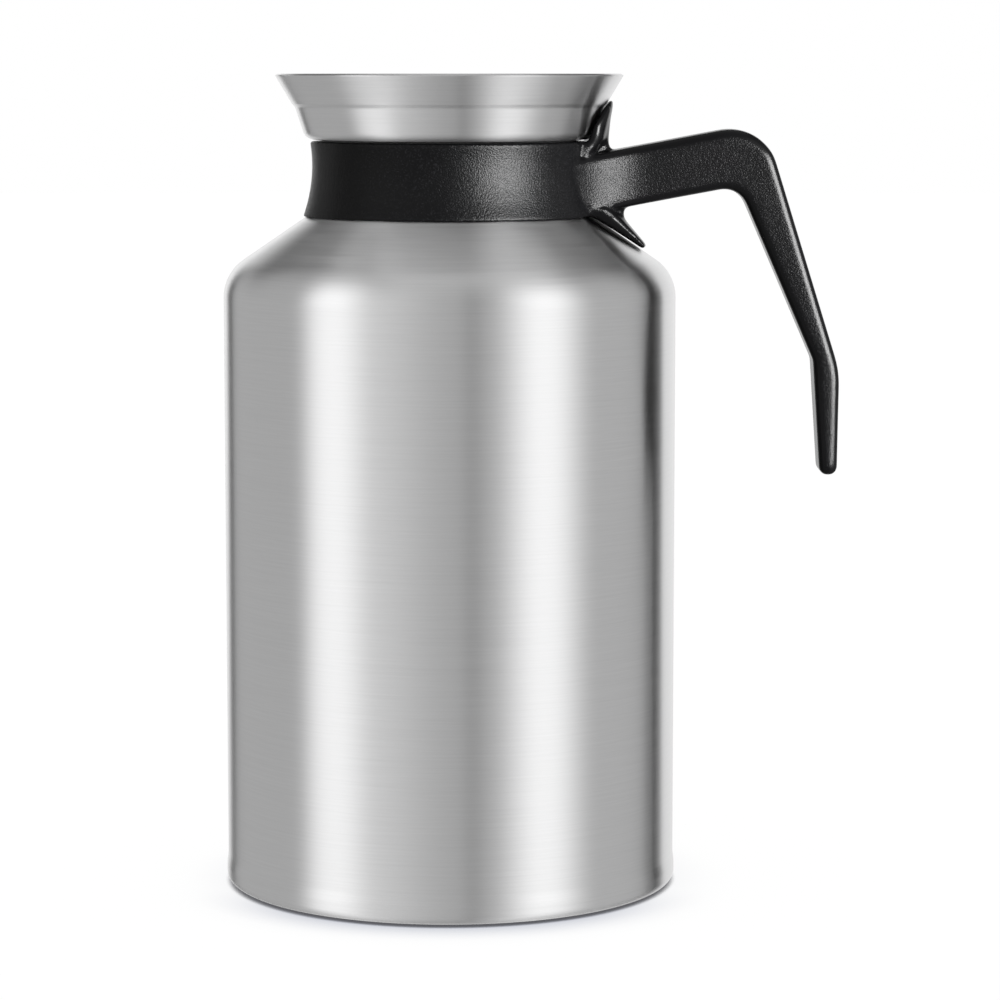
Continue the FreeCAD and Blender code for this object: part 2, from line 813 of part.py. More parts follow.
def upper_fin():
    """Tongue that stands against the mouth. Its sides spread, and it narrows toward the tip."""
    outer, inner = upper_fin_corners()
    tip_x, tip_z = outer[2][0], outer[3][1]
    root = upper_fin_half_width + upper_fin_root_thickness
    trim = tab([
        (root, 0),
        (root, mouth_floor_z),
        (upper_fin_waist, (mouth_floor_z + bowl_top_z) / 2),
        (upper_fin_neck, bowl_top_z),
        (upper_fin_neck, tip_z - upper_fin_tip_height),
        (upper_fin_tip_half_width, tip_z),
    ])
    plan = wedge(tip_x, upper_fin_half_width, upper_fin_spread)
    above = beside_arm(arm_top_z, -fin_bite, rim_z + cut_overrun)
    return turned(outer + inner, full_turn / 2).common(plan).common(trim).common(above)


def lower_fin():
    """Tongue that lies on the shoulder. Its sides spread, and the corners of its tip are cut."""
    inner, outer = lower_fin_corners()
    tip_x, tip_z = inner[-1][0], inner[-1][1]
    low = tip_z - lower_fin_tip_height
    wide = collar_foot_radius / 2
    rise = (wide - lower_fin_tip_half_width) * math.tan(math.radians(lower_fin_tip_angle))
    trim = tab([(lower_fin_tip_half_width, low), (wide, low + rise), (wide, rim_z)])
    plan = wedge(tip_x, lower_fin_half_width, lower_fin_spread)
    below = beside_arm(arm_foot_z, fin_bite, 0)
    return turned(inner + outer, full_turn / 2).common(plan).common(trim).common(below)


def fin_ribs():
    """Ribs in the middle plane that round the fins into the arm."""
    upper, face = upper_fin_corners()
    foot_x = upper[1][0]
    end_x = foot_x + fin_rib_foot
    top = [
        (collar_waist_radius, arm_top_z(collar_waist_radius) - arm_depth / 2, 0),
        (end_x, arm_top_z(end_x) - handle_edge, 0),
        (end_x, arm_top_z(end_x), 0),
        (foot_x, arm_top_z(foot_x), fin_rib_bend),
        midway(upper[1], upper[2]),
        midway(face[2], face[3]),
        face[3],
        (collar_waist_radius, collar_top_z - collar_edge, 0),
    ]
    base, lower = lower_fin_corners()
    knee_x, knee_z, knee_bend = lower[1]
    end_x = knee_x + fin_rib_foot
    bottom = [
        (collar_waist_radius, arm_foot_z(collar_waist_radius) + arm_depth / 2, 0),
        midway(base[3], lower[1]),
        midway(lower[1], base[4]),
        (knee_x, knee_z, knee_bend),
        (knee_x, arm_foot_z(knee_x), fin_rib_bend),
        (end_x, arm_foot_z(end_x), 0),
        (end_x, arm_foot_z(end_x) + handle_edge, 0),
    ]
    along = Vector(0, handle_width - 2 * handle_edge, 0)
    return [prism(rounded_wire(corners, upright), along) for corners in (top, bottom)]


def seat_outline(near, far, low, high):
    """Outline of a conical washer between two radii and two stand-offs from the shoulder."""
    return [
        (near, shoulder_z(near, low), 0),
        (far, shoulder_z(far, low), 0),
        (far, shoulder_z(far, high), 0),
        (near, shoulder_z(near, high), 0),
    ]


def collar_seat():
    """Soft conical washer in the collar's pocket."""
    return turned(seat_outline(seat_inner_radius, seat_outer_radius, seat_gap, seat_gap + seat_thickness))


def handle_collar():
    """Collar, handle and fins in one moulding, with a pocket for the seat and slots for the lugs."""
    solid = collar().fuse([handle_arm(), upper_fin(), lower_fin()] + fin_ribs())
    bore = cylinder(collar_bore_radius, 0, collar_top_z + cut_overrun)
    pocket_depth = seat_thickness + 2 * seat_gap
    pocket = turned(seat_outline(neck_radius, seat_outer_radius + seat_gap, -cut_overrun, pocket_depth))
    box = lug(lug_clearance).BoundBox
    slot = block((0, box.YMin, 0), (box.XMax, box.YMax, box.ZMax))
    slots = [spun(slot, side) for side in lug_angles]
    return solid.cut([bore, pocket] + slots).removeSplitter()


# Lid


def hinge_ears():
    """Two ears for the flap's pin, standing on the dish."""
    low = hub_top_z - dish_wall
    ears = []
    for side in (1, -1):
        start = side * ear_spacing / 2
        end = side * (ear_spacing / 2 + ear_thickness)
        near, far = min(start, end), max(start, end)
        post = block((pin_offset - ear_radius, near, low), (pin_offset + ear_radius, far, pin_z))
        crown = Part.makeCylinder(ear_radius, ear_thickness, Vector(pin_offset, near, pin_z), Vector(0, 1, 0))
        ears.append(post.fuse(crown))
    return ears


def pin_hole(radius):
    """A bore on the hinge axis, across both ears."""
    length = ear_spacing + 2 * ear_thickness + 2 * cut_overrun
    return Part.makeCylinder(radius, length, Vector(pin_offset, -length / 2, pin_z), Vector(0, 1, 0))


def finger_grips():
    """Two upright curved walls to lift the lid by."""
    low = hub_top_z
    wall = turned([
        (grip_radius - grip_wall, low, 0),
        (grip_radius, low, 0),
        (grip_radius, lid_top_z + grip_rise, lid_edge),
        (grip_radius - grip_wall, lid_top_z + grip_rise, lid_edge),
    ], 2 * grip_half_angle)
    return [spun(wall, side) for side in grip_angles]


def lid_body():
    """Plug, flange and dish in one moulding, with the brew funnel and tube socket in the middle."""
    plug_foot = ring_top_z - plug_length
    slope = dish_drop / (dish_radius - funnel_radius - flap_seat_width)
    seat_outer = funnel_radius + flap_seat_width
    under_z = hub_top_z - dish_wall
    body = turned([
        (brew_hole_radius, socket_top_z, 0),
        (tube_radius + tube_socket_gap, socket_top_z, 0),
        (tube_radius + tube_socket_gap, hub_top_z - hub_length, 0),
        (hub_radius, hub_top_z - hub_length, lid_edge),
        (hub_radius, under_z, lid_edge),
        (plug_inner_radius, under_z + (plug_inner_radius - seat_outer) * slope, lid_edge),
        (plug_inner_radius, plug_foot, lid_edge),
        (plug_radius, plug_foot, lid_edge),
        (plug_radius, ring_top_z, 0),
        (lid_flange_radius, ring_top_z, lid_edge),
        (lid_flange_radius, lid_top_z, lid_edge),
        (dish_radius, lid_top_z, lid_edge),
        (seat_outer, hub_top_z, lid_edge),
        (seat_outer, flap_seat_z, 0),
        (funnel_radius, flap_seat_z, 0),
        (brew_hole_radius, hub_top_z - dish_wall, 0),
    ])
    body = body.fuse(hinge_ears() + finger_grips())
    port = spun(turned([
        (port_inner_radius, plug_foot, 0),
        (port_outer_radius, plug_foot, 0),
        (port_outer_radius, lid_top_z + cut_overrun, 0),
        (port_inner_radius, lid_top_z + cut_overrun, 0),
    ], 2 * port_half_angle), full_turn / 2)
    vent = cylinder(vent_radius, plug_foot, lid_top_z + cut_overrun, vent_offset)
    groove_top = ring_top_z - seal_drop
    groove = turned([
        (plug_radius - seal_groove_depth, groove_top - seal_height, 0),
        (plug_radius + cut_overrun, groove_top - seal_height, 0),
        (plug_radius + cut_overrun, groove_top, 0),
        (plug_radius - seal_groove_depth, groove_top, 0),
    ])
    body = body.cut([port, vent, groove, pin_hole(pin_radius)])
    return body.removeSplitter()


def lid_seal():
    """Soft ring in the plug's groove, with two lips toward the throat."""
    top = ring_top_z - seal_drop - seal_seat_gap
    foot = top - seal_height + 2 * seal_seat_gap
    inner = plug_radius - seal_groove_depth + seal_seat_gap
    outer = ring_bore_radius - seal_clearance
    return turned([
        (inner, foot, 0),
        (outer - lip_depth, foot, 0),
        (outer, foot + lip_height / 2, 0),
        (outer - lip_depth, foot + lip_height, 0),
        (outer - lip_depth, top - lip_height, 0),
        (outer, top - lip_height / 2, 0),
        (outer - lip_depth, top, 0),
        (inner, top, 0),
    ])


def lid_flap():
    """Round cover over the brew hole, with a hinge barrel and a thumb tab."""
    top = flap_seat_z + flap_thickness
    disc = turned([
        (0, flap_seat_z, 0),
        (flap_radius, flap_seat_z, flap_edge),
        (flap_radius, top, flap_edge),
        (0, top, 0),
    ])
    barrel_length = ear_spacing - 2 * barrel_side_gap
    barrel = Part.makeCylinder(
        barrel_radius, barrel_length, Vector(pin_offset, -barrel_length / 2, pin_z), Vector(0, 1, 0))
    neck = block((0, -flap_neck_width / 2, pin_z - barrel_radius), (pin_offset, flap_neck_width / 2, top))
    thumb_wire = rounded_wire([
        (0, flap_seat_z, 0),
        (0, top, 0),
        (-flap_radius, top, flap_thickness),
        (-flap_radius - thumb_length, top + thumb_rise, 0),
        (-flap_radius - thumb_length, top + thumb_rise - flap_thickness, 0),
        (-flap_radius, flap_seat_z, flap_thickness),
    ], upright)
    thumb = prism(thumb_wire, Vector(0, thumb_width, 0))
    flap = disc.fuse([barrel, neck, thumb])
    return flap.cut(pin_hole(pin_radius + pin_clearance)).removeSplitter()


def flap_pin():
    """Steel pin through the ears and the flap's barrel."""
    length = ear_spacing + 2 * ear_thickness
    return Part.makeCylinder(pin_radius, length, Vector(pin_offset, -length / 2, pin_z), Vector(0, 1, 0))


def mixing_tube():
    """Tube from the lid's socket to just above the flask's floor, slotted at its foot."""
    top = socket_top_z
    bore = tube_radius - tube_wall
    tube = cylinder(tube_radius, tube_foot_height, top).cut(
        cylinder(bore, tube_foot_height - cut_overrun, top + cut_overrun))
    groove_mid = top - o_ring_drop
    groove = turned([
        (tube_radius - o_ring_section, groove_mid - o_ring_section, 0),
        (tube_radius + cut_overrun, groove_mid - o_ring_section, 0),
        (tube_radius + cut_overrun, groove_mid + o_ring_section, 0),
        (tube_radius - o_ring_section, groove_mid + o_ring_section, 0),
    ])
    tube = tube.cut(groove)
    slot = block(
        (-tube_radius - cut_overrun, -tube_slot_width / 2, tube_foot_height - cut_overrun),
        (tube_radius + cut_overrun, tube_slot_width / 2, tube_foot_height + tube_slot_height),
    )
    for i in range(tube_slot_count):
        tube = tube.cut(spun(slot, full_turn / 2 * i / tube_slot_count))
    return tube


def tube_o_ring():
    """O-ring that holds the tube in its socket."""
    half = o_ring_section / 2
    ring = Part.makeTorus(tube_radius - half, half)
    ring.translate(Vector(0, 0, socket_top_z - o_ring_drop))
    return ring


PIECES = {
    "outer_shell": outer_shell,
    "inner_flask": inner_flask,
    "flask_floor": flask_floor,
    "flask_neck": flask_neck,
    "vacuum_base": vacuum_base,
    "evacuation_seal": evacuation_seal,
    "getter_strap": getter_strap,
    "getter_pellet": getter_pellet,
    "base_cap": base_cap,
    "base_pad": base_pad,
    "neck_lugs": neck_lugs,
    "pour_mouth": pour_mouth,
    "mouth_gasket": mouth_gasket,
    "throat_ring": throat_ring,
    "collar_seat": collar_seat,
    "handle_collar": handle_collar,
    "lid_body": lid_body,
    "lid_seal": lid_seal,
    "lid_flap": lid_flap,
    "flap_pin": flap_pin,
    "mixing_tube": mixing_tube,
    "tube_o_ring": tube_o_ring,
}


def main():
    os.makedirs("parts", exist_ok=True)
    for name, make in PIECES.items():
        shape = make()
        shape.exportStep(os.path.join("parts", name + ".step"))
        box = shape.BoundBox
        print(f"{name}: {len(shape.Solids)} solid, valid {shape.isValid()}, volume {shape.Volume:.1f} mm3, "
              f"z {box.ZMin:.2f} to {box.ZMax:.2f}, x {box.XMin:.2f} to {box.XMax:.2f}")


main()
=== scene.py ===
# %% [markdown]
# A vacuum carafe of brushed steel, with a black moulded handle, stands on a white table in a small
# photo studio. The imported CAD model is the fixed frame: it gives every piece its place, in metres.
# On top of it come the looks. The steel skin is turned anew by Geometry Nodes, the handle is
# remelted from its CAD solid, and the pieces inside the mouth keep their CAD meshes and get real
# finishes.

# %% Load the frame
import json
import math

import bmesh
import bpy
import numpy as np
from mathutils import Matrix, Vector


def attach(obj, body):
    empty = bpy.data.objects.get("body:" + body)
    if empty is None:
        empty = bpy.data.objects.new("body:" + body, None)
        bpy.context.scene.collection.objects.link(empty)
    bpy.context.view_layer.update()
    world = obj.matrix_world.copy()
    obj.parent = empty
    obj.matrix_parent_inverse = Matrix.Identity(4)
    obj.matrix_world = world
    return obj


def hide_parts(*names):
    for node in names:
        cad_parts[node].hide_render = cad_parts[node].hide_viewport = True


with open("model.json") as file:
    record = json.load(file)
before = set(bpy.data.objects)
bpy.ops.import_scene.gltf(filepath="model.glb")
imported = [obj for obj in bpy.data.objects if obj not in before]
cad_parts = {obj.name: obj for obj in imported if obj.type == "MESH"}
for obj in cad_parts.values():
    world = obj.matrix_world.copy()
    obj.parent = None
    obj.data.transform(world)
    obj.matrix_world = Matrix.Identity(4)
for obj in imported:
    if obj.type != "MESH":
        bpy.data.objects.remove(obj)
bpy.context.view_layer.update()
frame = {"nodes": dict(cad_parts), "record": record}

MM = 0.001
scene = bpy.context.scene
scene.view_settings.view_transform = "Standard"
print("pieces in the frame:", ", ".join(sorted(frame["nodes"])))

# %% [markdown]
# The photograph was taken from the height of the carafe's rim, so the rim is a straight line and
# the base is a shallow ellipse. Both come right at once only from one distance, a little over a
# metre. The camera stands there and looks down by about seven degrees, through a long lens.

# %% Camera at the height of the rim
def add_object(name, data):
    """A new object in the scene, at the origin."""
    made = bpy.data.objects.new(name, data)
    scene.collection.objects.link(made)
    return made


def aim(thing, target):
    """Turn a camera or a lamp to face a point."""
    thing.rotation_euler = (target - thing.location).to_track_quat("-Z", "Y").to_euler()


lens = bpy.data.cameras.new("studio_camera")
lens.sensor_width = 36.0
lens.lens = 129.6
lens.clip_start = 0.01
lens.clip_end = 20.0
camera = add_object("studio_camera", lens)
camera.location = Vector((14.7, -1053.2, 238.5)) * MM
aim(camera, Vector((14.7, 0.0, 112.9)) * MM)
scene.camera = camera
print("camera looks down by %.2f degrees" % (90 - math.degrees(camera.rotation_euler.x)))

# %% [markdown]
# Finishes, the studio and the turned pieces are all node trees. Two small classes keep them
# readable. Graph adds a node from its type, its settings and its sockets. Line is one output, and
# arithmetic on it adds Math nodes, so a mask can be written as 1 - mask.

# %% Node trees as expressions
class Line:
    """One output of a node. Arithmetic on it adds Math nodes to the same tree."""

    def __init__(self, graph, socket):
        self.graph = graph
        self.socket = socket

    def other(self, name):
        """Another output of the same node."""
        return Line(self.graph, self.socket.node.outputs[name])

    def math(self, operation, *values):
        return self.graph.node("ShaderNodeMath", {"operation": operation}, values)

    def __add__(self, value):
        return self.math("ADD", self, value)

    def __sub__(self, value):
        return self.math("SUBTRACT", self, value)

    def __rsub__(self, value):
        return self.math("SUBTRACT", value, self)

    def __mul__(self, value):
        return self.math("MULTIPLY", self, value)

    def __truediv__(self, value):
        return self.math("DIVIDE", self, value)

    __radd__ = __add__
    __rmul__ = __mul__


class Graph:
    """A node tree that is filled from Python."""

    def __init__(self, tree):
        self.tree = tree
        tree.nodes.clear()

    def node(self, kind, settings=None, sockets=(), output=0):
        """Add a node: its settings come first, then the values or links of its sockets."""
        made = self.tree.nodes.new(kind)
        for name, value in (settings or {}).items():
            setattr(made, name, value)
        pairs = sockets.items() if isinstance(sockets, dict) else enumerate(sockets)
        for key, value in pairs:
            if isinstance(value, Line):
                self.tree.links.new(value.socket, made.inputs[key])
            else:
                made.inputs[key].default_value = value
        return Line(self, made.outputs[output]) if len(made.outputs) else None

    def ease(self, value, low, high):
        """0 below low, 1 above high, an even curve between them. Swapped ends turn it round."""
        return self.node("ShaderNodeMapRange", {"interpolation_type": "SMOOTHSTEP"}, {
            "Value": value, "From Min": min(low, high), "From Max": max(low, high),
            "To Min": float(low > high), "To Max": float(low < high)})

    def blend(self, share, first, second):
        """Mix two colours."""
        return self.node("ShaderNodeMix", {"data_type": "RGBA"}, {0: share, 6: first, 7: second}, 2)


def grey(level):
    return (level, level, level, 1.0)


print("node helpers ready")

# %% [markdown]
# Steel has hardly a colour of its own: it shows the studio. So the studio is what gives the body
# its stripes, and it is drawn in the world, by compass bearing from the camera. Two softboxes stand
# in front, left and right, dark flags stand behind them, and white card closes the back. The
# shoulder mirrors the roof, which is dim at the sides and comes down low behind. Camera rays see
# plain white, and diffuse rays an even light, at which a colour renders as it is written.

# %% Studio
studio = bpy.data.worlds.new("studio")
scene.world = studio
studio.use_nodes = True
sky = Graph(studio.node_tree)

in_degrees = 180 / math.pi
way = sky.node("ShaderNodeSeparateXYZ", None, {0: sky.node("ShaderNodeTexCoord")})
bearing = way.math("ARCTAN2", way, 0 - way.other("Y")) * in_degrees
height = way.math("ARCSINE", way.other("Z")) * in_degrees


def card(low, high, soft_low, soft_high):
    """An upright panel between two bearings, with a soft edge on either side."""
    opening = sky.ease(bearing, low - soft_low / 2, low + soft_low / 2)
    closing = sky.ease(bearing, high + soft_high / 2, high - soft_high / 2)
    return opening * closing


# Bearings and heights are in degrees, and the factor after each card is its brightness.
room_level = 0.64 + sky.ease(bearing, 62, 82) * 0.07
left_box = card(-76, -49, 16, 22) * 0.53 + card(-78, -21, 20, 58) * 0.36
right_box = card(34, 68, 30, 28) * 0.92
centre_flag = card(8, 17, 6, 6) * 0.16
left_flag = card(-153, -144, 2, 4) * 0.56
right_flag = card(119, 123, 4, 1) * 0.40 + card(125.5, 138, 1, 3) * 0.73
backdrop = sky.ease(bearing, 136, 141) * 0.35 + sky.ease(bearing, -153, -159) * 0.48
softbox_height = 0.85 + sky.ease(height, -12, 4) * 0.85 - sky.ease(height, 34, 52) * 1.6
flags = centre_flag + left_flag + right_flag
wall = room_level - flags + backdrop + (left_box + right_box) * softbox_height

# The roof is a flat ceiling: a place on it is its distance to the side for each metre of height.
sideways = way / way.math("MAXIMUM", way.other("Z"), 0.05)
dim_right = 1 - sky.ease(sideways, 0.44, 0.58) * 0.90
dim_left = 1 - sky.ease(sideways, -0.32, -0.55) * 0.70
roof = (0.10 + sky.ease(height, 38, 64) * 0.78) * dim_right * dim_left
behind = sky.ease(way.math("ABSOLUTE", bearing), 122, 140)
roof_share = sky.ease(height, 40, 58) * (1 - behind) + sky.ease(height, 17, 30) * behind
below = 1 - sky.ease(height, -62, -80) * 0.5
reflected = (wall * (1 - roof_share) + roof * roof_share) * below

even_light = 1.0
ray = sky.node("ShaderNodeLightPath", None, (), "Is Camera Ray")
glossy = ray.other("Is Glossy Ray")
seen = ray.math("MAXIMUM", ray, ray.other("Is Transmission Ray"))
level = seen + (1 - seen) * (glossy * reflected + (1 - glossy) * even_light)
light = sky.node("ShaderNodeBackground", None, {"Color": grey(1.0), "Strength": level})
sky.node("ShaderNodeOutputWorld", None, {"Surface": light})
print("studio drawn with", len(studio.node_tree.nodes), "nodes")

# %% [markdown]
# The table is white, and all that shows of it is the shadow where the carafe stands. For camera
# rays most of its light is emission, so it stays white, and the rest is shaded. The shadow is a
# painted shadow in the emission colour, drawn from occlusion: a tight dark line under the foot, and
# a wide, faint, slightly blue one, painted stronger on the side towards the camera.

# %% Table
def finish(name):
    """A new material and its empty graph."""
    made = bpy.data.materials.new(name)
    made.use_nodes = True
    return made, Graph(made.node_tree)


table_reach = 6.0
contact_reach, shadow_reach = 2.5 * MM, 24 * MM
contact_shadow_tone = (0.09, 0.09, 0.10, 1.0)
shadow_tone = (0.48, 0.50, 0.58, 1.0)
glow_strength = 1.02
shaded_share = 0.06

table_mesh = bpy.data.meshes.new("table")
corners = [(x * table_reach, y * table_reach, 0) for x, y in ((-1, -1), (1, -1), (1, 1), (-1, 1))]
table_mesh.from_pydata(corners, [], [(0, 1, 2, 3)])
table = add_object("table", table_mesh)
table.location.z = -0.02 * MM
table.visible_glossy = False

table_paint, top = finish("table_white")
occlusion = "ShaderNodeAmbientOcclusion"
contact = top.node(occlusion, {"samples": 8}, {"Distance": contact_reach}, "AO")
around = top.node(occlusion, {"samples": 8}, {"Distance": shadow_reach}, "AO")
table_place = top.node("ShaderNodeTexCoord", None, (), "Object")
spot = top.node("ShaderNodeSeparateXYZ", None, {0: table_place})
in_front = top.ease(spot.other("Y"), -15 * MM, -60 * MM)
# Painted shadow: occlusion darkens the colour the table glows with, more towards the camera.
soft_shadow = (1 - top.ease(around, 0.30, 0.95)) * (in_front * 0.85 + 0.15)
soft_shadow_colour = top.blend(soft_shadow, grey(1.0), shadow_tone)
painted_shadow_colour = top.blend(top.ease(contact, 0.15, 0.75), contact_shadow_tone, soft_shadow_colour)
glow = top.node("ShaderNodeEmission", None, {"Color": painted_shadow_colour, "Strength": glow_strength})
paint = top.node("ShaderNodeBsdfDiffuse", None, {"Color": grey(0.85)})
faint = top.node("ShaderNodeMixShader", None, [shaded_share, glow, paint])
camera_ray = top.node("ShaderNodeLightPath", None, (), "Is Camera Ray")
table_skin = top.node("ShaderNodeMixShader", None, [camera_ray, paint, faint])
top.node("ShaderNodeOutputMaterial", None, {0: table_skin})
table_mesh.materials.append(table_paint)
print("table laid")

# %% [markdown]
# Brushed steel. The belt runs around the body and leaves fine, long, level scratches, so a
# highlight spreads up and down and hardly sideways. Anisotropy gives that spread. Noise that is
# stretched around the body draws the scratches themselves, in the colour, the roughness and a
# slight bump, and a broad noise keeps the tone from being even.

# %% Brushed steel
def shade(tone, factor):
    """A colour made darker or lighter, with its alpha."""
    return [c * factor for c in tone] + [1.0]


def noise(graph, scale, detail=2.0, rough=0.5):
    """Even noise on the piece's own coordinates, with a scale for each axis, per metre."""
    place = graph.node("ShaderNodeTexCoord", None, (), "Object")
    stretched = graph.node("ShaderNodeMapping", None, {"Vector": place, "Scale": scale})
    return graph.node("ShaderNodeTexNoise", None, {
        "Vector": stretched, "Scale": 1.0, "Detail": detail, "Roughness": rough}, "Fac")


def relief(graph, height, strength, depth):
    """A bump, with its depth in millimetres."""
    return graph.node("ShaderNodeBump", None, {
        "Strength": strength, "Distance": depth * MM, "Height": height})


def surface(graph, sockets):
    """The shader of a finish, joined to the output of its graph."""
    skin = graph.node("ShaderNodeBsdfPrincipled", None, sockets)
    graph.node("ShaderNodeOutputMaterial", None, {0: skin})


def brushed_steel(name, tone, roughness, anisotropy):
    made, steel = finish(name)
    scratches = noise(steel, (40, 40, 1700), 3.0, 0.65)
    bands = noise(steel, (9, 9, 420))
    clouds = noise(steel, (14, 14, 9))
    wear = (scratches - 0.5) * 0.65 + (bands - 0.5) * 0.20 + (clouds - 0.5) * 0.10
    surface(steel, {
        "Base Color": steel.blend(wear + 0.5, shade(tone, 0.86), shade(tone, 1.14)),
        "Metallic": 1.0, "Roughness": roughness + wear * 0.15,
        "Normal": relief(steel, scratches, 0.10, 0.02),
        "Anisotropic": anisotropy, "Anisotropic Rotation": 0.25})
    return made


body_steel = brushed_steel("body_steel_brushed", (0.62, 0.62, 0.622), 0.34, 1.0)
mouth_steel = brushed_steel("mouth_steel_brushed", (0.60, 0.60, 0.602), 0.34, 1.0)
flask_steel = brushed_steel("flask_steel_drawn", (0.56, 0.56, 0.55), 0.45, 0.6)
print("steel finishes:", body_steel.name, mouth_steel.name, flask_steel.name)

# %% [markdown]
# The shell, the base cap and the pour mouth are sheet steel, spun or drawn round a former, so each
# is an outline turned about the axis. A Geometry Nodes tree does the turning: the object's own mesh
# holds the outline as a row of points, a grid takes one column for each step of the turn, and every
# grid point is sent to its place on the circle.

# %% Turning tree
def turning_tree():
    tree = bpy.data.node_groups.new("turned_sheet", "GeometryNodeTree")
    turn = Graph(tree)
    for name, way, kind in (("Outline", "INPUT", "Geometry"), ("Steps", "INPUT", "Int"),
                            ("Finish", "INPUT", "Material"), ("Sheet", "OUTPUT", "Geometry")):
        tree.interface.new_socket(name, in_out=way, socket_type="NodeSocket" + kind)
    outline = turn.node("NodeGroupInput", None, (), "Outline")
    steps = outline.other("Steps")
    count = turn.node("GeometryNodeAttributeDomainSize", {"component": "MESH"}, {0: outline},
                      "Point Count")
    grid = turn.node("GeometryNodeMeshGrid", None, {"Vertices X": steps + 1, "Vertices Y": count})
    index = turn.node("GeometryNodeInputIndex")
    column = index.math("FLOOR", (index + 0.5) / count)
    row = index - column * count
    angle = column / steps * (2 * math.pi)
    point = turn.node("GeometryNodeSampleIndex", {"data_type": "FLOAT_VECTOR", "domain": "POINT"}, {
        "Geometry": outline, "Value": turn.node("GeometryNodeInputPosition"), "Index": row + 0.5})
    corner = turn.node("ShaderNodeSeparateXYZ", None, {0: point})
    sent = turn.node("ShaderNodeCombineXYZ", None, [
        corner * angle.math("COSINE", angle), corner * angle.math("SINE", angle),
        corner.other("Z")])
    sheet = turn.node("GeometryNodeSetPosition", None, {"Geometry": grid, "Position": sent})
    sheet = turn.node("GeometryNodeMergeByDistance", None, {
        "Geometry": sheet, "Distance": 0.001 * MM})
    sheet = turn.node("GeometryNodeSetShadeSmooth", None, {"Geometry": sheet})
    sheet = turn.node("GeometryNodeRealizeInstances", None, {"Geometry": sheet})
    sheet = turn.node("GeometryNodeSetMaterial", None, {
        "Geometry": sheet, "Material": outline.other("Finish")})
    turn.node("NodeGroupOutput", None, {"Sheet": sheet})
    return tree


turned_sheet = turning_tree()
print("turning tree has", len(turned_sheet.nodes), "nodes")

# %% [markdown]
# An outline is written as corners with a bend radius, as on a workshop drawing. The helper lays
# arcs in the bends, and puts a point close to either end of each straight run, so that smooth
# shading stays flat along the run. A sheet has two faces: the second lies beside the first by the
# thickness of the steel.

# %% Outlines of sheet steel
def unit(start, end):
    return (np.array(end[:2]) - start[:2]) / math.hypot(end[0] - start[0], end[1] - start[1])


def second_face(path, thickness, least_bend=0.05):
    """The path's other side, to its left, with bends that share their centres."""
    made = []
    for i, (radius, z, bend) in enumerate(path):
        ahead = unit(path[i], path[i + 1]) if i + 1 < len(path) else unit(path[i - 1], path[i])
        back = unit(path[i - 1], path[i]) if i else ahead
        middle = (ahead + back) / np.linalg.norm(ahead + back)
        across = np.array((-middle[1], middle[0]))
        reach = thickness / float(middle @ ahead)
        left = back[0] * ahead[1] - back[1] * ahead[0] > 0
        inner_bend = max(bend + (-thickness if left else thickness), least_bend) if bend else 0
        made.append((*(np.array((radius, z)) + across * reach), inner_bend))
    return made


def drawn(path, hold=0.3, arc_step=0.12):
    """Points along a path of corners (radius, height, bend), in millimetres."""
    points = []

    def run_to(target):
        if points and math.dist(points[-1], target) > 3 * hold:
            along = unit(points[-1], target) * hold
            points.extend([tuple(np.array(points[-1]) + along), tuple(np.array(target) - along)])
        points.append(tuple(target))

    for i, (radius, z, bend) in enumerate(path):
        corner = np.array((radius, z))
        if not bend or i in (0, len(path) - 1):
            run_to(corner)
            continue
        back, on = unit(path[i], path[i - 1]), unit(path[i], path[i + 1])
        half = math.acos(max(-1.0, min(1.0, float(back @ on)))) / 2
        reach = bend / math.tan(half)
        centre = corner + (back + on) / np.linalg.norm(back + on) * bend / math.sin(half)
        start, end = corner + back * reach, corner + on * reach
        run_to(start)
        turn = math.pi - 2 * half
        steps = max(2, math.ceil(turn / arc_step))
        for step in range(1, steps + 1):
            share = step / steps
            spoke = ((np.array(start) - centre) * math.sin((1 - share) * turn)
                     + (end - centre) * math.sin(share * turn))
            points.append(tuple(centre + spoke / math.sin(turn)))
    return points


def sheet_outline(path, thickness, edge=0.12):
    """Closed outline of a sheet, with its two cut edges slightly broken."""
    there, back = drawn(path), drawn(second_face(path, thickness))[::-1]
    broken = []
    for ends in ((there[-1], back[0]), (back[-1], there[0])):
        first, last = np.array(ends)
        width = np.linalg.norm(last - first)
        across = (last - first) / width * min(edge, width / 4)
        broken.append([tuple(first + across), tuple(last - across)])
    return there + broken[0] + back + broken[1] + [there[0]]


print("outline helpers ready")

# %% [markdown]
# Two pieces are turned. The body takes in the shell with its shoulder and neck and the cap under
# it: on the real carafe they are welded edge to edge and ground flush, so one sheet stands for both
# and no line shows around the foot. The pour mouth is a bowl with a small step and a flared rim.

# %% Turn the steel pieces
def turned(name, outline, steps, material):
    """A piece turned from an outline in millimetres, as a plain mesh with its faces outwards."""
    mesh = bpy.data.meshes.new(name + "_outline")
    mesh.from_pydata([(r * MM, 0, z * MM) for r, z in outline], [], [])
    former = add_object(name + "_former", mesh)
    lathe = former.modifiers.new("turned_sheet", "NODES")
    lathe.node_group = turned_sheet
    inputs = {item.name: item.identifier for item in turned_sheet.interface.items_tree}
    lathe[inputs["Steps"]] = steps
    lathe[inputs["Finish"]] = material
    evaluated = former.evaluated_get(bpy.context.evaluated_depsgraph_get())
    made = bpy.data.meshes.new_from_object(evaluated)
    bpy.data.objects.remove(former)
    shape = bmesh.new()
    shape.from_mesh(made)
    bmesh.ops.recalc_face_normals(shape, faces=shape.faces)
    if shape.calc_volume(signed=True) < 0:
        bmesh.ops.reverse_faces(shape, faces=shape.faces)
    shape.to_mesh(made)
    shape.free()
    made.name = name
    print(name, "turned:", len(made.polygons), "faces")
    return add_object(name, made)


def dress(piece, body, slot, *nodes):
    """Put a finished piece in the place of CAD nodes."""
    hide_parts(*nodes)
    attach(piece, body)


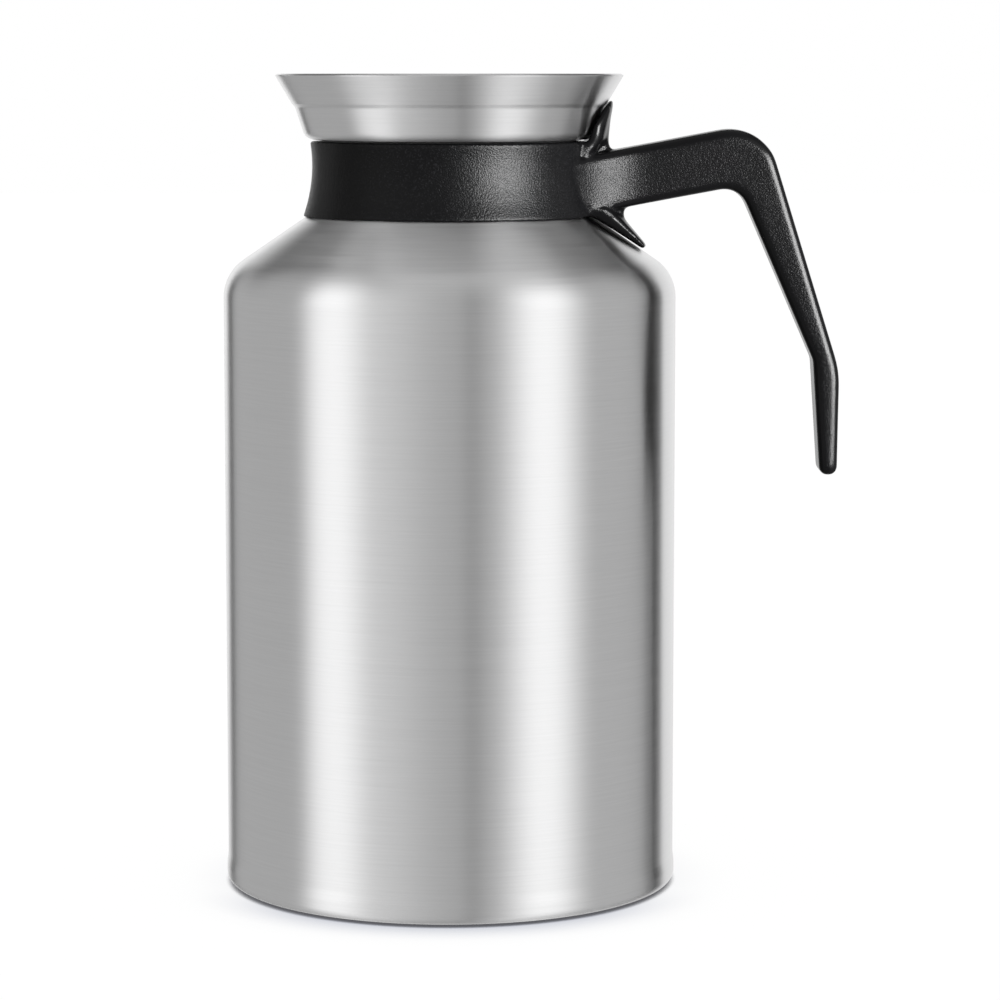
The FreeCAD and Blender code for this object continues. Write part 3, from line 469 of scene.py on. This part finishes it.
body_wall, mouth_wall = 0.8, 0.9
turn_steps = 240
body_path = [(0, 2.6, 0), (57.7, 2.6, 0.3), (57.7, 0.5, 1.0), (66.35, 0.5, 2.6), (66.35, 5.6, 8.0),
             (66.0, 8.6, 8.0), (66.0, 179.8, 13.0), (37.0, 199.58, 3.0), (37.0, 217.28, 0)]
mouth_path = [(34.0, 218.68, 0), (41.8, 218.68, 3.2), (44.9, 228.08, 1.9), (45.75, 228.98, 1.0),
              (50.62, 237.15, 0)]

body = turned("steel_body", sheet_outline(body_path, body_wall), turn_steps, body_steel)
dress(body, "carafe", "body_steel", "outer_shell", "base_cap")
mouth = turned("steel_pour_mouth", sheet_outline(mouth_path, mouth_wall), turn_steps, mouth_steel)
dress(mouth, "carafe", "mouth_steel", "pour_mouth")

# %% [markdown]
# The handle is one moulding: a collar, an arm, a grip and two fins, with soft corners where plastic
# has flowed together. A copy of its CAD mesh is merged, melted into even voxels and smoothed.
# Beyond the collar it is smoothed again, sideways only: that rounds the edges of arm and grip and
# leaves their side outline as it is. Where the arm and the fins grow out of the collar a third
# smoothing lets them flow into each other, and a fourth turns the fins into soft horns. Both spare
# the tips.

# %% Melt the handle
voxel = 0.47 * MM
weld = 0.002 * MM


def applied(piece):
    """The piece's mesh with its modifiers applied, which are then removed."""
    evaluated = piece.evaluated_get(bpy.context.evaluated_depsgraph_get())
    made = bpy.data.meshes.new_from_object(evaluated)
    piece.modifiers.clear()
    piece.data = made
    return made


handle_mesh = frame["nodes"]["handle_collar"].data.copy()
handle_mesh.name = "moulded_handle"
solid = bmesh.new()
solid.from_mesh(handle_mesh)
bmesh.ops.remove_doubles(solid, verts=solid.verts, dist=weld)
solid.to_mesh(handle_mesh)
solid.free()
handle = add_object("moulded_handle", handle_mesh)
melt = handle.modifiers.new("melt", "REMESH")
melt.mode = "VOXEL"
melt.voxel_size = voxel
lumps = applied(handle)
print("handle melted:", len(lumps.polygons), "faces")

# %% [markdown]
# Each smoothing is held back by a share for each point. The shares are ramps along the handle and
# up the carafe, in millimetres, from where the collar ends to where the fins have their tips.

# %% Smooth the handle
def rows_of(items, field):
    """One row of three numbers for each item."""
    values = np.zeros(len(items) * 3)
    items.foreach_get(field, values)
    return values.reshape(-1, 3)


def ramp(values, start, end):
    return np.clip((values - start) / (end - start), 0, 1)


def smoothed(piece, title, iterations, shares=None, sideways=False):
    """Add a smoothing, along all axes or across the handle only."""
    made = piece.modifiers.new(title, "SMOOTH")
    made.factor = 0.5
    made.iterations = iterations
    made.use_x = made.use_z = not sideways
    if shares is not None:
        group = piece.vertex_groups.new(name=title)
        for index in np.flatnonzero(shares > 0):
            group.add([int(index)], float(shares[index]), "REPLACE")
        made.vertex_group = group.name


tip_share, arm_share = 0.08, 0.6
along, _, up = rows_of(lumps.vertices, "co").T / MM
beyond_collar = ramp(along, 38, 42)
upper_fin = ramp(up, 215, 218) * np.maximum(ramp(up, 230.5, 225.5), tip_share)
lower_fin = ramp(up, 199, 196) * np.maximum(ramp(along, 59.5, 53.5), tip_share)
fins = np.maximum(upper_fin, lower_fin)
root = np.maximum(fins, arm_share) * ramp(along, 74, 66)
smoothed(handle, "settle", 5)
smoothed(handle, "soften", 40, beyond_collar, sideways=True)
smoothed(handle, "flow", 26, beyond_collar * root)
smoothed(handle, "horns", 60, beyond_collar * fins)
melted = applied(handle)
handle.vertex_groups.clear()
melted.name = "moulded_handle"
melted.polygons.foreach_set("use_smooth", [True] * len(melted.polygons))
print("handle smoothed:", len(melted.polygons), "faces")

# %% [markdown]
# The mould was spark-eroded on the broad faces and polished along edges and fins. A vertex
# attribute marks which is which: the band of the collar, the flanks where the arm grows out of it,
# and the flat sides of arm and grip.

# %% Mark the grained faces
x, y, z = rows_of(melted.vertices, "co").T / MM
facing_x, facing_y, facing_z = rows_of(melted.vertex_normals, "vector").T
axis_distance = np.hypot(x, y)
outward = (x * facing_x + y * facing_y) / np.maximum(axis_distance, 1.0)
on_band = (axis_distance < 44) & (z > 196.5) & (z < 217.8)
on_root = (x > 30) & (x < 66) & (axis_distance > 40)
on_fin = (x > 36) & (x < 66) & ((z > 216.5) | (z < 196.5))
band_share = ramp(outward, 0.80, 0.95) * on_band
root_share = ramp(np.abs(facing_z), 0.40, 0.20) * on_root
side_share = ramp(np.abs(facing_y), 0.93, 0.99)
grained = np.where(on_fin, 0.0, np.maximum(np.maximum(band_share, root_share), side_share))
mark = melted.attributes.new("grain", "FLOAT", "POINT")
mark.data.foreach_set("value", grained.astype(np.float32))
print("grained share of the handle: %.2f" % grained.mean())

# %% [markdown]
# Black plastic. Where the mould is spark-eroded the surface is a field of tiny pits, under half a
# millimetre across: it is duller and its highlight is broad and sandy, and the pits are painted
# lighter as painted glints. Where it is polished the black is deeper and the highlight is tight.

# %% Black mouldings
def black_plastic(name, tone, spark, polished, grained, gloss, share=None):
    """A black finish, with the grain of the mesh's own marks or an even share of it. Spark is how
    much lighter the pits are painted, as painted glints.
    """
    made, plastic = finish(name)
    pits = noise(plastic, (2300, 2300, 2300), 2.0, 0.55)
    haze = noise(plastic, (60, 60, 60))
    if share is None:
        share = plastic.node("ShaderNodeAttribute", {"attribute_name": "grain"}, (), "Fac")
    deep = plastic.blend(haze, shade(tone, 0.75), shade(tone, 1.25))
    # Painted glints: the pits are painted lighter by the spark factor, in place of their highlights.
    painted_pit_glints = plastic.ease(pits, 0.54, 0.70) * share
    surface(plastic, {
        "Base Color": plastic.blend(painted_pit_glints, deep, shade(tone, spark)),
        "Roughness": polished + (grained - polished) * share + (haze - 0.5) * 0.08,
        "Normal": relief(plastic, pits * share, 1.0, 0.14),
        "IOR": 1.5, "Specular IOR Level": gloss})
    return made


# spark paints the pits four times lighter, as painted glints.
handle_black = black_plastic("handle_black", (0.0011, 0.0011, 0.0012), spark=4.0, polished=0.24,
                             grained=0.30, gloss=0.07)
melted.materials.clear()
melted.materials.append(handle_black)
dress(handle, "carafe", "handle_plastic", "handle_collar")
print("handle dressed in", handle_black.name)

# %% [markdown]
# Black plastic shows almost nothing but its highlights. A softbox on the right, at the height of
# the collar, draws the upright highlight on the collar and the one where the arm grows out of it.
# Light linking keeps it off the steel.

# %% Lamp for the black handle
lamp_light = bpy.data.lights.new("handle_lamp", "AREA")
lamp_light.shape = "RECTANGLE"
lamp_light.size = 0.42
lamp_light.size_y = 0.60
lamp_light.energy = 96.0
lamp = add_object("handle_lamp", lamp_light)
lamp_bearing, lamp_height, lamp_distance = math.radians(47), math.radians(4), 1.1
lamp_aim = Vector((0.02, 0, 0.20))
lamp_way = Vector((math.sin(lamp_bearing) * math.cos(lamp_height),
                   -math.cos(lamp_bearing) * math.cos(lamp_height), math.sin(lamp_height)))
lamp.location = lamp_aim + lamp_distance * lamp_way
aim(lamp, lamp_aim)
lit_by_lamp = bpy.data.collections.new("lit_by_handle_lamp")
lit_by_lamp.objects.link(handle)
lamp.light_linking.receiver_collection = lit_by_lamp
print("handle lamp placed")

# %% [markdown]
# The lid and its tube are plainer mouldings, in a satin black that is a little greyer. They take
# the same finish, with a light, even grain all over in place of the marked one, and the same
# painted glints on its pits.

# %% Other plastics
even_grain = 0.35
# spark paints the pits lighter here too, as painted glints.
lid_black = black_plastic("lid_black", (0.026, 0.026, 0.027), spark=1.6, polished=0.36,
                          grained=0.44, gloss=0.45, share=even_grain)
tube_black = black_plastic("tube_black", (0.030, 0.030, 0.031), spark=1.6, polished=0.42,
                           grained=0.50, gloss=0.40, share=even_grain)
print("plastics:", lid_black.name, tube_black.name)

# %% [markdown]
# Rubber and silicone are dull and take a little dust, so their colour is mottled at two scales and
# their skin is slightly uneven. The pin is ground steel, with fine rings around it, and the getter
# is pressed metal powder.

# %% Small finishes
def rubber(name, tone, roughness):
    made, soft = finish(name)
    dust = noise(soft, (220, 220, 220), 3.0)
    fine = noise(soft, (2600, 2600, 2600))
    surface(soft, {
        "Base Color": soft.blend(dust * 0.7 + fine * 0.3, shade(tone, 0.75), shade(tone, 1.3)),
        "Roughness": roughness + (dust - 0.5) * 0.1, "Normal": relief(soft, fine, 0.3, 0.03),
        "IOR": 1.45})
    return made


def speckled(name, dark, light, scale, metallic, roughness):
    """Ground steel, pressed powder or solder glass: two tones in fine speckle."""
    made, fine = finish(name)
    grain = noise(fine, scale, 3.0, 0.6)
    surface(fine, {
        "Base Color": fine.blend(grain, shade(dark, 1.0), shade(light, 1.0)), "Metallic": metallic,
        "Roughness": roughness + (grain - 0.5) * 0.15, "Normal": relief(fine, grain, 0.2, 0.02)})
    return made


finishes = {
    "flask_steel": flask_steel,
    "lid_plastic": lid_black,
    "tube_plastic": tube_black,
    "seal_rubber": rubber("seal_silicone", (0.12, 0.12, 0.12), 0.55),
    "pad_rubber": rubber("pad_rubber", (0.030, 0.030, 0.030), 0.65),
    "pin_steel": speckled("pin_ground_steel", (0.55, 0.55, 0.55), (0.72, 0.72, 0.71),
                          (900, 6000, 900), metallic=1.0, roughness=0.25),
    "getter_metal": speckled("getter_powder", (0.22, 0.22, 0.23), (0.36, 0.36, 0.37),
                             (3000, 3000, 3000), metallic=0.8, roughness=0.6),
    "seal_glass": speckled("solder_glass", (0.20, 0.25, 0.23), (0.30, 0.35, 0.33),
                           (800, 800, 800), metallic=0.0, roughness=0.15),
}
print("small finishes:", ", ".join(sorted(finishes)))

# %% [markdown]
# The pieces inside the mouth and the flask are already the right shape in CAD, with their true
# edges and bores. They stay, and each takes the finish of its material slot.

# %% Finish the CAD pieces
for part in frame["record"]["subparts"]:
    node = frame["nodes"][part["node"]]
    coat = finishes.get(part["material_slot"])
    if coat is not None:
        node.data.materials.clear()
        node.data.materials.append(coat)
print("CAD pieces finished")
